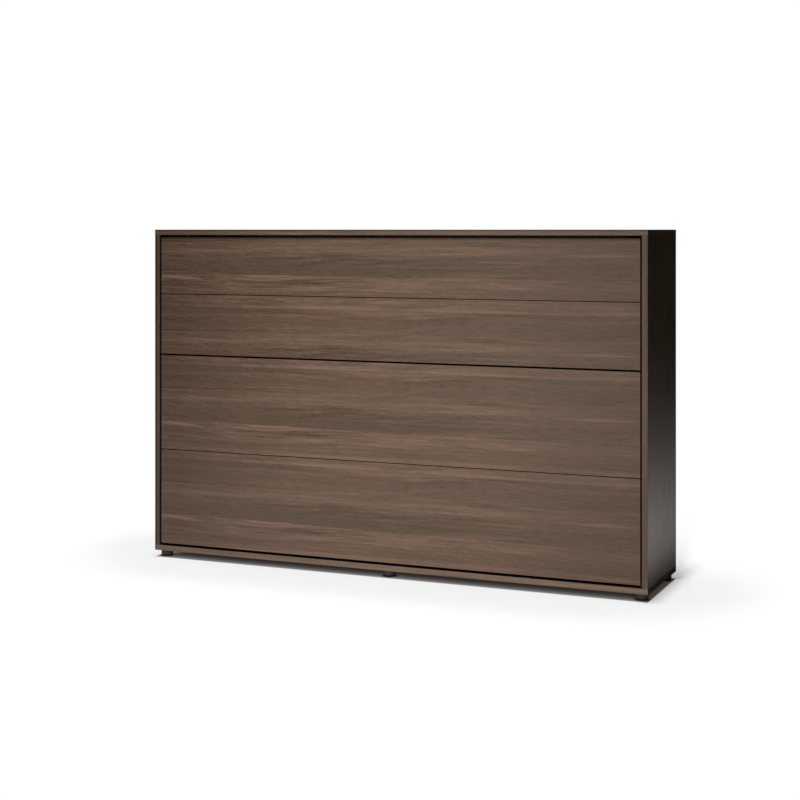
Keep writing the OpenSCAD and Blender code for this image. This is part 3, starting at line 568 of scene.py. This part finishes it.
slats_low, slats_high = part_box("slats")
slat_count, slat_width, slat_thick, slat_crown, slat_round = 14, 0.068, 0.008, 0.014, 0.0028
slat_reach = (slats_high.x - slats_low.x - slat_width) / 2
t = np.linspace(0, 1, 49)
bow = slat_crown * (1 - (2 * t - 1) ** 2) ** 2
heights = slats_low.z + (slats_high.z - slats_low.z) * t
paths = [np.stack([x + 0 * t, slats_low.y + slat_thick / 2 + bow, heights], 1)
         for x in np.linspace(-slat_reach, slat_reach, slat_count)]
slat_blades = swept("slat_blades", paths, slat_width, slat_thick, slat_round)
slat_blades.data.materials.append(birch("birch"))
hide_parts("slats")
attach(slat_blades, "bed")
print("slats:", len(paths), "bowed by", round(float(bow.max()) * 1000, 1), "mm")

# %% [markdown]
# ## Webbing
# Two straps hold the mattress while the bed stands closed. Each is flat webbing that runs
# behind the slats, from the lower rail to the upper one, and threads through a ladder
# buckle: in at the lower window, over the middle bar and out at the upper window.

# %% Straps
def webbing(name):
    """Polyester webbing: ribs 2.2 mm apart that lean one way on the left half and the
    other way on the right, with a plain woven edge 2.5 mm wide. Near its lower end a
    square with both diagonals is sewn in grey thread, with stitches 3.5 mm long. half is
    half the square's side, middle is how far up it lies and soft is how soft its rim is."""
    half, middle, soft = 0.0135, 0.045, 0.0006
    finish = Finish(name, Sheen_Weight=0.25, Sheen_Roughness=0.5)

    def waves(value, length):
        """A sine between zero and one."""
        return finish.maths("SINE", value * (2 * math.pi / length)) * 0.5 + 0.5

    where = finish.node("Attribute", {"attribute_name": "local"})[1]
    across, _, along = finish.apart(where)
    aside = finish.maths("ABSOLUTE", across)
    edge = aside.step(0.0170, 0.0178)
    lean = finish.maths("PINGPONG", across, 0.005) * 1.2
    rib, weft, yarn = waves(along + lean, 0.0022), waves(along, 0.0014), waves(across, 0.0013)
    weave = finish.node("Mix", inputs={0: edge, 2: rib * 0.7 + yarn * 0.3, 3: weft})[0]
    fuzz = finish.noise(where, 900, 2.0, seed=14)
    upward = along - middle
    away = finish.maths("ABSOLUTE", upward)
    inside = aside.step(half, half + soft, 1.0, 0.0) * away.step(half, half + soft, 1.0, 0.0)
    seams = [finish.maths("ABSOLUTE", line) for line in (
        aside - half, away - half, (across - upward) * 0.7, (across + upward) * 0.7)]
    nearest = seams[0]
    for seam in seams[1:]:
        nearest = finish.maths("MINIMUM", nearest, seam)
    run = finish.maths("SINE", (along + across * 1.3) * (2 * math.pi / 0.0035))
    thread = nearest.step(0.0004, 0.0007, 1.0, 0.0) * inside * run.step(-0.6, -0.3)
    cloth = finish.mix(weave * 0.7 + fuzz * 0.3, (0.012, 0.012, 0.013), (0.060, 0.060, 0.064))
    finish.feed("Base Color", finish.mix(thread, cloth, (0.24, 0.24, 0.25)))
    finish.feed("Roughness", 0.62 + fuzz * 0.2)
    finish.bump(weave + fuzz * 0.2 + thread * 1.5, 0.0004, 0.7)
    return finish.material


strap_webbing = webbing("webbing")
buckle_low, buckle_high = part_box("strap_buckles")
buckle_z = (buckle_low.z + buckle_high.z) / 2
# the strap's space over the bar, how far from the bar its points are close and where it
# begins to rise, and how long the rise is
clear, close, begins, slope = 0.0003, 0.02, 0.0150, 0.0100
for name in ("left_strap", "right_strap"):
    low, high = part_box(name)
    width, thick = high.x - low.x, high.y - low.y
    over = buckle_high.y + thick / 2 + clear
    z = np.concatenate([np.linspace(low.z, buckle_z - close, 60),
                        np.linspace(buckle_z - close, buckle_z + close, 81)[1:],
                        np.linspace(buckle_z + close, high.z, 20)[1:]])
    rise = np.clip((begins - np.abs(z - buckle_z)) / slope, 0, 1)
    rise = rise * rise * (3 - 2 * rise)
    flat_y = (low.y + high.y) / 2
    path = np.stack([(low.x + high.x) / 2 + 0 * z, flat_y + (over - flat_y) * rise, z], 1)
    length = float(np.linalg.norm(np.diff(path, axis=0), axis=1).sum())
    strap = swept(name + "_webbing", [path], width, thick, thick * 0.45)
    strap.data.materials.append(strap_webbing)
    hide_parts(name)
    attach(strap, "bed")
    print(name, "cut to", round(width * 1000), "by", round(length * 1000), "mm")

# %% [markdown]
# ## Screws and bolts
# Fasteners are small, but they show how the bed is put together. Each head is turned round
# an axis, and its profile has rows of height, radius and how six-sided it is there: a hex
# head is round, six-sided and round again, and a socket is six-sided on the way back down.
# Hex bolts hold the lever plates and the legs. Button heads hold the boards, the straps'
# plates and the wall brackets.

# %% Screws and bolts
# heights and radii in millimetres
HEX_HEAD = [(0, 6.2, 0), (1.0, 6.2, 0), (1.2, 6.0, 0), (1.2, 5.5, 1), (3.8, 5.5, 1),
            (4.3, 5.0, 0.5), (4.5, 4.5, 0)]
BUTTON_HEAD = [(0, 4.2, 0), (0.5, 4.2, 0), (1.2, 3.8, 0), (1.7, 3.0, 0), (2.0, 2.0, 0),
               (1.9, 1.7, 1), (0.7, 1.6, 1)]


def heads(name, profile, places, toward, body, material=zinc_plate):
    """Turned heads at some places, all pointing one way. At angle a a row's point lies at
    place + height toward + radius f (cos a, sin a), with f = 1 - six + six cos 30 /
    cos(a mod 60 - 30), so that it slides from a circle to a hexagon."""
    around, millimetre = 24, 0.001
    height, radius, six = (np.array(column)[:, None] for column in zip(*profile))
    a = np.arange(around) * (2 * np.pi / around)
    corner = np.cos(np.pi / 6) / np.cos(np.mod(a, np.pi / 3) - np.pi / 6)
    wide = millimetre * radius * (1 - six + six * corner)
    toward = np.array(toward, float)
    side = np.roll(toward, 1)
    up = np.cross(toward, side)
    one = (millimetre * height[..., None] * toward + (wide * np.cos(a))[..., None] * side
           + (wide * np.sin(a))[..., None] * up)
    points = (np.array(places)[:, None, None] + one[None]).reshape(-1, 3)
    row, column = np.meshgrid(np.arange(len(profile) - 1), np.arange(around), indexing="ij")
    after = (column + 1) % around
    quads = np.stack([row * around + column, row * around + after, (row + 1) * around + after,
                      (row + 1) * around + column], 2).reshape(-1, 4)
    count = len(profile) * around
    ends = [np.arange(around)[::-1], count - around + np.arange(around)]
    faces = []
    for start in range(0, len(points), count):
        faces += (quads + start).tolist() + [(start + end).tolist() for end in ends]
    mesh = bpy.data.meshes.new(name)
    mesh.from_pydata(points.tolist(), [], faces)
    mesh.set_sharp_from_angle(angle=math.radians(32))
    mesh.materials.append(material)
    made = bpy.data.objects.new(name, mesh)
    bpy.context.scene.collection.objects.link(made)
    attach(made, body)
    print(name, len(places))
    return made


boards = [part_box(f"front_board_{number}") for number in (1, 2, 3, 4)]
frame_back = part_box("frame_lower_rail")[1].y
bar_places, board_margin = (-0.985, -0.5, 0, 0.5, 0.985), 0.062
rows = [z for low, high in boards for z in (low.z + board_margin, high.z - board_margin)]
frame_screws = heads("frame_screws", BUTTON_HEAD,
                     [(x, frame_back, z) for x in bar_places for z in rows], (0, 1, 0), "bed")
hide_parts("board_screws")
low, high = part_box("strap_plates")
strap_x = sum(end.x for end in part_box("right_strap")) / 2
strap_margin = 0.008
heads("strap_screws", BUTTON_HEAD,
      [(x, high.y, z) for x in (-strap_x, strap_x)
       for z in (low.z + strap_margin, high.z - strap_margin)], (0, 1, 0), "bed")
lever_outside, pivot_z, rail_middle = 1.004, 0.352, (boards_back + frame_back) / 2
bolts_over_pivot, shaft_inset = (-0.118, -0.052, 0.045, 0.090), 0.016
for side, where in ((-1, "left"), (1, "right")):
    heads(where + "_lever_bolts", HEX_HEAD,
          [(side * lever_outside, rail_middle, pivot_z + up) for up in bolts_over_pivot],
          (side, 0, 0), "bed")
    low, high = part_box(where + "_leg")
    outer = high.x if side > 0 else low.x
    heads(where + "_leg_bolt", HEX_HEAD, [(outer, high.y - shaft_inset, high.z - shaft_inset)],
          (side, 0, 0), "legs")
low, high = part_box("wall_brackets")
bracket_x, hole_apart, bracket_thick, bracket_leg = 0.900, 0.015, 0.003, 0.078
across = [side * bracket_x + shift for side in (-1, 1) for shift in (-hole_apart, hole_apart)]
hole_y = high.y - 0.7 * bracket_leg
for end, z, toward in (("low", low.z + bracket_thick, 1), ("high", high.z - bracket_thick, -1)):
    heads("bracket_screws_" + end, BUTTON_HEAD, [(x, hole_y, z) for x in across],
          (0, 0, toward), "cabinet", black_coat)

# %% [markdown]
# ## Pile and felt in the gaps
# In the photograph the gaps round the boards are black, although light falls into them.
# Black pile strip on the side panels and thin felt tape under the top panel and on the
# threshold keep dust out, and their black is painted shade: it stands for the shade in the
# gaps. The pile is 3.6 mm high and leaves the boards and the stop tabs their way. Felt on the
# ends of the boards, above the pivots, fills the rest of that gap, or else the wall would
# show through it. Small felt tabs and tapes close the ends of the seams from behind, and
# their black is painted shade too. Each is the same rounded section as the slats.

# %% Felt
def felt(name):
    """Felt: matt black, with matted fibres in all directions. Its black is painted shade: it
    stands for the shade in the gaps.
    """
    finish = Finish(name, Specular_IOR_Level=0.02)
    where = finish.place()
    fibres = finish.noise(where, 1400, 3.0, 0.7, seed=15)
    finish.feed("Base Color", finish.mix(fibres, (0.003, 0.003, 0.003), (0.012, 0.012, 0.013)))
    finish.feed("Roughness", 0.85 + fibres * 0.15)
    finish.bump(fibres, 0.0003)
    return finish.material


inner_left, inner_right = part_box("left_side_panel")[1].x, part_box("right_side_panel")[0].x
inner_low, inner_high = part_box("bottom_panel")[1].z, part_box("top_panel")[0].z
front, board_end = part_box("bottom_panel")[0].y, boards[0][1].x


def strip(name, lines, deep, thick, behind, body="cabinet"):
    """Strips along straight lines, each from a start to an end, which lie on edge: deep
    along Y, thick across the panel that carries them, and behind the front edge."""
    radius = 0.00035
    shift = np.array([0, front + behind + deep / 2, 0])
    paths = [np.linspace(start, end, 5) + shift for start, end in lines]
    made = swept(name, paths, deep, thick, radius, side=(0, 1.0, 0))
    made.data.materials.append(black_felt_shade)
    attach(made, body)
    print(name, round(deep * 1000), "mm deep,", round(thick * 1000, 1), "mm thick")


def at_board_ends(thick, places):
    """Upright lines for felt that is thick along X and ends where the boards do, at both
    ends. Each of places has its lower and upper end."""
    x = board_end - thick / 2 - 0.0001
    return [((side * x, 0, low), (side * x, 0, high)) for side in (-1, 1)
            for low, high in places]


# painted shade: the felt's black stands for the shade in the gaps
black_felt_shade = felt("black_felt_shade")
pile, tape, clear = 0.0036, 0.0008, 0.0002
left, right = inner_left + pile / 2, inner_right - pile / 2
strip("side_pile", [((left, 0, inner_low), (left, 0, inner_high)),
                    ((right, 0, inner_low), (right, 0, inner_high))],
      deep=0.022, thick=pile, behind=0.0008)
left, right = inner_left + pile + clear, inner_right - pile - clear
for name, z, deep in (("top_felt", inner_high - tape / 2, 0.020),
                      ("threshold_felt", inner_low + tape / 2, 0.044)):
    strip(name, [((left, 0, z), (right, 0, z))], deep, tape, behind=0.0012)
over_pivot, edge_thick = 0.45, inner_right - board_end - pile - clear
x = board_end + edge_thick / 2
strip("edge_felt", [((side * x, 0, over_pivot), (side * x, 0, boards[0][1].z - 0.003))
                    for side in (-1, 1)],
      deep=0.006, thick=edge_thick, behind=0.009, body="bed")
tapes_begin = 1.0047
half_tab, tab_thick, tape_thick = 0.012, 0.0028, board_end - tapes_begin
seams = [(upper[0].z + lower[1].z) / 2 for upper, lower in zip(boards, boards[1:])]
upper_seam, wide_seam, lower_seam = [(z - half_tab, z + half_tab) for z in seams]
on_boards = boards_back - front + 0.0001
strip("seam_tabs", at_board_ends(tab_thick, [wide_seam]),
      deep=0.0012, thick=tab_thick, behind=on_boards, body="bed")
strip("seam_tapes", at_board_ends(tape_thick, [upper_seam, lower_seam]),
      deep=0.0008, thick=tape_thick, behind=on_boards, body="bed")

# %% [markdown]
# ## Floor, backdrop and light
# The photograph has a white ground and a dark, nearly black side panel that mirrors a pool
# of bright floor low down. So the world is white only where the camera or a reflection
# looks at it, and lights the bed very little. The floor glows where the camera or a
# reflection sees it, and its shading is drawn: open sky makes it white, it is dark under
# the cabinet and close round the feet, and a soft contact shadow lies along the sides and
# behind. Reflections see the floor on the right as a pool that fades to the back. Three
# black cards that only reflections see stand behind, on the right and on the left, and
# four softboxes light the bed.

# %% Stage
def flat_card(name, corners):
    """A four-cornered surface that isn't part of the bed."""
    mesh = bpy.data.meshes.new(name)
    mesh.from_pydata(corners, [], [(0, 1, 2, 3)])
    card = bpy.data.objects.new(name, mesh)
    bpy.context.scene.collection.objects.link(card)
    return card


reach = 30
floor = flat_card("floor", [(-reach, -reach, 0), (reach, -reach, 0), (reach, reach, 0),
                            (-reach, reach, 0)])
ground = Finish("floor_white")
is_diffuse, is_glossy = ground.node("LightPath")[2:4]
open_sky = ground.node("AmbientOcclusion", {"samples": 8}, {"Distance": 0.45})[1]
x, y, _ = ground.apart(ground.place())

# how far a point lies outside the cabinet, to the side and to the front or back
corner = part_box("bottom_panel")[1]
aside = ground.maths("ABSOLUTE", x) - corner.x
ahead = ground.maths("ABSOLUTE", y) - corner.y
inward = ground.maths("MAXIMUM", aside, ahead)
right = x.step(-0.2, 0.2)

# under the cabinet: light comes in at the front edge, and less at the right end and behind
front_light, less_at_end, darkest, fades = 0.30, 0.24, 0.010, 31
at_end = (aside - ahead).step(-0.03, 0.03) * right
at_end = ground.maths("MAXIMUM", at_end, y.step(0.0, 0.1))
under = (inward * (at_end * 2 + 1)).step(-0.008, 0.006, 1.0, 0.0)
edge_light = front_light - at_end * less_at_end
deep = ground.maths("EXPONENT", ground.maths("MINIMUM", inward, 0.0) * fades)
deep = deep * edge_light + darkest

# the contact shadow along the right side and, weaker, the left one
at_right, at_left = 0.55, 0.16
length = y.step(-corner.y - 0.05, -corner.y + 0.06) * y.step(corner.y, 0.62, 1.0, 0.0)
contact = aside.step(-0.03, 0.075, at_right, 0.0) * length * right
contact = contact + aside.step(-0.02, 0.05, at_left, 0.0) * length * (1 - right)
contact = contact * aside.step(-0.05, -0.004)

# the contact shadow behind the right corner: softer and fainter further from it
softer = ground.maths("MAXIMUM", aside, 0.0) * 2.5 + 0.002
behind = ((y - (corner.y - 0.014)) / softer).step(-1.0, 1.0)
behind = behind * ground.maths("EXPONENT", (y - corner.y) * -3.0) * at_right
behind = behind * (aside + y * 0.21).step(0.050, 0.120, 1.0, 0.0)
contact = ground.maths("MAXIMUM", contact, behind)

# the floor as the camera sees it: how grey it is for how much of the sky is open
GREYS = ((0.0, 0.40), (0.30, 0.70), (0.50, 0.87), (0.75, 0.895), (0.93, 0.92), (0.99, 1.0))
outside = ground.ramp(open_sky, *[(sky, (grey,) * 3) for sky, grey in GREYS])
outside = ground.times(outside, 1 - contact)
seen = ground.mix(under, outside, ground.times(deep, (1.04, 0.99, 0.97)))
for name in ("foot_front_left", "foot_front_middle", "foot_front_right", "foot_back_right"):
    low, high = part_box(name)
    from_foot = ground.maths("SQRT", (x - (low.x + high.x) / 2) ** 2
                             + (y - (low.y + high.y) / 2) ** 2) - (high.x - low.x) / 2
    seen = ground.mix(from_foot.step(0.001, 0.012, 0.75, 0.0), seen, (0.004, 0.004, 0.004))

# the pool on the right that reflections see: brightest at the front, and dark at the side
brightest, warm = 1.58, (1.06, 1.0, 0.94)
mirrored = ground.maths("EXPONENT", ground.maths("MAXIMUM", y, 0.0) * -0.57) * brightest
mirrored = mirrored * aside.step(0.08, 0.36, 0.05, 1.0)
in_pool = right * y.step(-0.4, 0.0)
mirrored = mirrored * in_pool + (1 - in_pool)
pool = ground.times(ground.times(seen, mirrored), warm)

shown = ground.node("Emission", inputs={"Color": ground.mix(is_glossy, seen, pool)})[0]
dim = ground.node("BsdfDiffuse", inputs={"Color": (0.06, 0.06, 0.06, 1)})[0]
both = ground.node("MixShader", inputs={0: is_diffuse, 1: shown, 2: dim})[0]
ground.tree.links.new(both.socket, ground.tree.nodes["Material Output"].inputs["Surface"])
ground.material.cycles.emission_sampling = "NONE"
floor.data.materials.append(ground.material)

black = Finish("card_black", Base_Color=(0, 0, 0, 1), Specular_IOR_Level=0.0)
cards = {
    "black_card_behind": [(1.15, 9, 0), (20, 9, 0), (20, 9, 20), (1.15, 9, 20)],
    "black_card_right": [(9, -8, 0), (9, -8, 16), (9, 9, 16), (9, 9, 0)],
    "black_card_left": [(-2.0, -4, 0), (-14, -4, 0), (-14, -4, 8), (-2.0, -4, 8)],
}
for name, corners in cards.items():
    card = flat_card(name, corners)
    card.data.materials.append(black.material)
    card.visible_camera = card.visible_diffuse = card.visible_shadow = False

# the world is white to the camera and to reflections, and dim to the rest
world = bpy.data.worlds.new("world")
bpy.context.scene.world = world
sky = Finish("world", world)
is_camera, _, _, is_glossy = sky.node("LightPath")[:4]
dim_sky = 0.045
strength = sky.maths("MAXIMUM", sky.maths("MAXIMUM", is_camera, is_glossy), dim_sky)
shade = sky.node("Background", inputs={"Color": (1, 1, 1, 1), "Strength": strength})[0]
sky.tree.links.new(shade.socket, sky.tree.nodes["World Output"].inputs["Surface"])
world.cycles.sampling_method = "NONE"


def softbox(name, place, aim, size, power):
    """A rectangular lamp at a place, turned to an aim; no reflection shows it."""
    data = bpy.data.lights.new(name, "AREA")
    data.shape = "RECTANGLE"
    data.size, data.size_y = size
    data.energy = power
    lamp = bpy.data.objects.new(name, data)
    bpy.context.scene.collection.objects.link(lamp)
    lamp.location = place
    lamp.rotation_euler = (Vector(aim) - Vector(place)).to_track_quat("-Z", "Y").to_euler()
    lamp.visible_camera = lamp.visible_glossy = False


softbox("key", (0.15, -2.3, 0.46), (0.15, 0, 0.44), (1.0, 0.8), 46)
softbox("top", (0.0, -1.2, 3.4), (0.0, -0.6, 0), (1.7, 2.6), 80)
softbox("left", (-4.2, 1.0, 1.5), (-1, 0, 0.8), (2.0, 1.6), 60)
softbox("back", (-0.6, 4.2, 1.6), (0, 0, 0.7), (2.4, 1.6), 130)

# %% [markdown]
# ## Closing the lesson
# The last cell only prints that the lesson ends.

# %% The end
print("the lesson ends")
